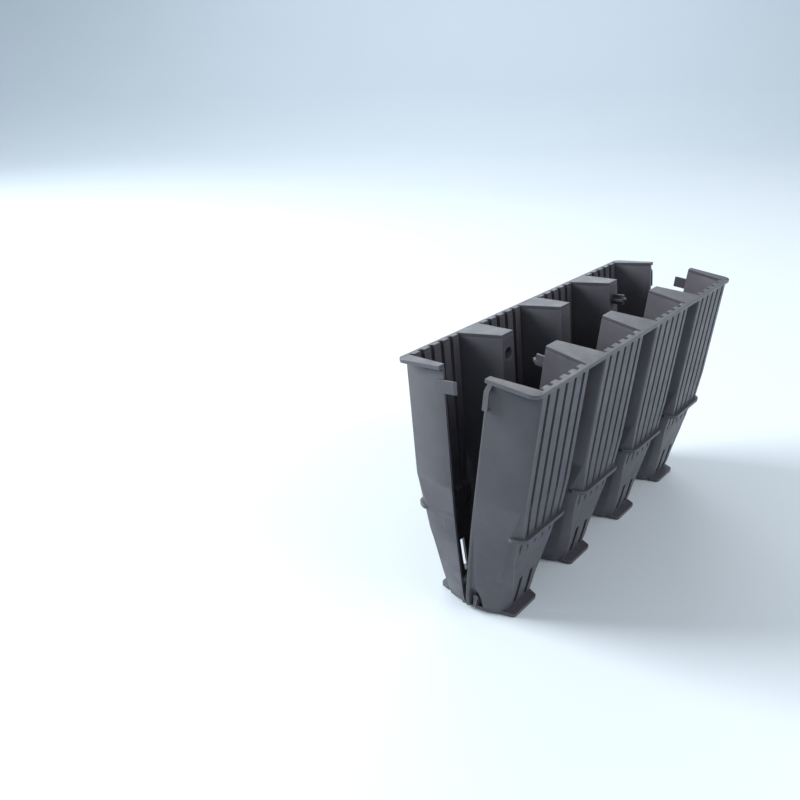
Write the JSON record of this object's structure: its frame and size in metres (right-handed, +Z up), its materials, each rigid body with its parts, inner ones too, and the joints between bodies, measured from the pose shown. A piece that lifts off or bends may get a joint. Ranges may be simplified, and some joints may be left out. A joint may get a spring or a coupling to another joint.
{
  "type": "hinged root trainer book",
  "caption": "Hinged strip of deep tapered seedling cells with ribbed walls, clip latches, feet and drains; opens like a book to release root plugs",
  "frame": {"origin": "on the ground under the middle of the book as it stands part open", "axes": "+X along the row of cells, +Y towards half A, +Z up"},
  "size_m": [0.21, 0.0696, 0.1214],
  "materials": {
    "rim": "matte moulded polypropylene, charcoal",
    "long_wall": "matte moulded polypropylene, charcoal",
    "partition": "matte moulded polypropylene, charcoal",
    "end_wall": "matte moulded polypropylene, charcoal",
    "foot": "matte moulded polypropylene, charcoal",
    "hinge": "matte moulded polypropylene, charcoal",
    "latch": "matte moulded polypropylene, charcoal",
    "peg": "matte moulded polypropylene, charcoal"
  },
  "bodies": {
    "hinge_strip": {"living_hinge": "hinge"},
    "half_a": {"cell_wall_a1": "long_wall", "cell_wall_a2": "long_wall", "cell_wall_a3": "long_wall", "cell_wall_a4": "long_wall", "end_wall_a_far": "end_wall", "end_wall_a_near": "end_wall", "foot_a1": "foot", "foot_a2": "foot", "foot_a3": "foot", "foot_a4": "foot", "hinge_lug_a_far": "hinge", "hinge_rail_a": "hinge", "latch_catch_a": "latch", "latch_tongue_a": "latch", "locating_peg_a": "peg", "partition_a1": "partition", "partition_a2": "partition", "partition_a3": "partition", "peg_socket_a": "peg", "rim_a": "rim"},
    "half_b": {"cell_wall_b1": "long_wall", "cell_wall_b2": "long_wall", "cell_wall_b3": "long_wall", "cell_wall_b4": "long_wall", "end_wall_b_far": "end_wall", "end_wall_b_near": "end_wall", "foot_b1": "foot", "foot_b2": "foot", "foot_b3": "foot", "foot_b4": "foot", "hinge_lug_b_near": "hinge", "hinge_rail_b": "hinge", "latch_catch_b": "latch", "latch_tongue_b": "latch", "locating_peg_b": "peg", "partition_b1": "partition", "partition_b2": "partition", "partition_b3": "partition", "peg_socket_b": "peg", "rim_b": "rim"}
  },
  "joints": [
    {"name": "hinge_a", "type": "hinge", "parent": "hinge_strip", "child": "half_a", "pos_m": [0, 0, 0.00256], "axis": [-1, 0, 0], "range_deg": [-5.4, 77.1]},
    {"name": "hinge_b", "type": "hinge", "parent": "hinge_strip", "child": "half_b", "pos_m": [0, 0, 0.00256], "axis": [1, 0, 0], "range_deg": [-5.4, 77.1]}
  ],
  "couplings": [
    {"joint": "hinge_b", "follows": "hinge_a", "ratio": 1}
  ]
}
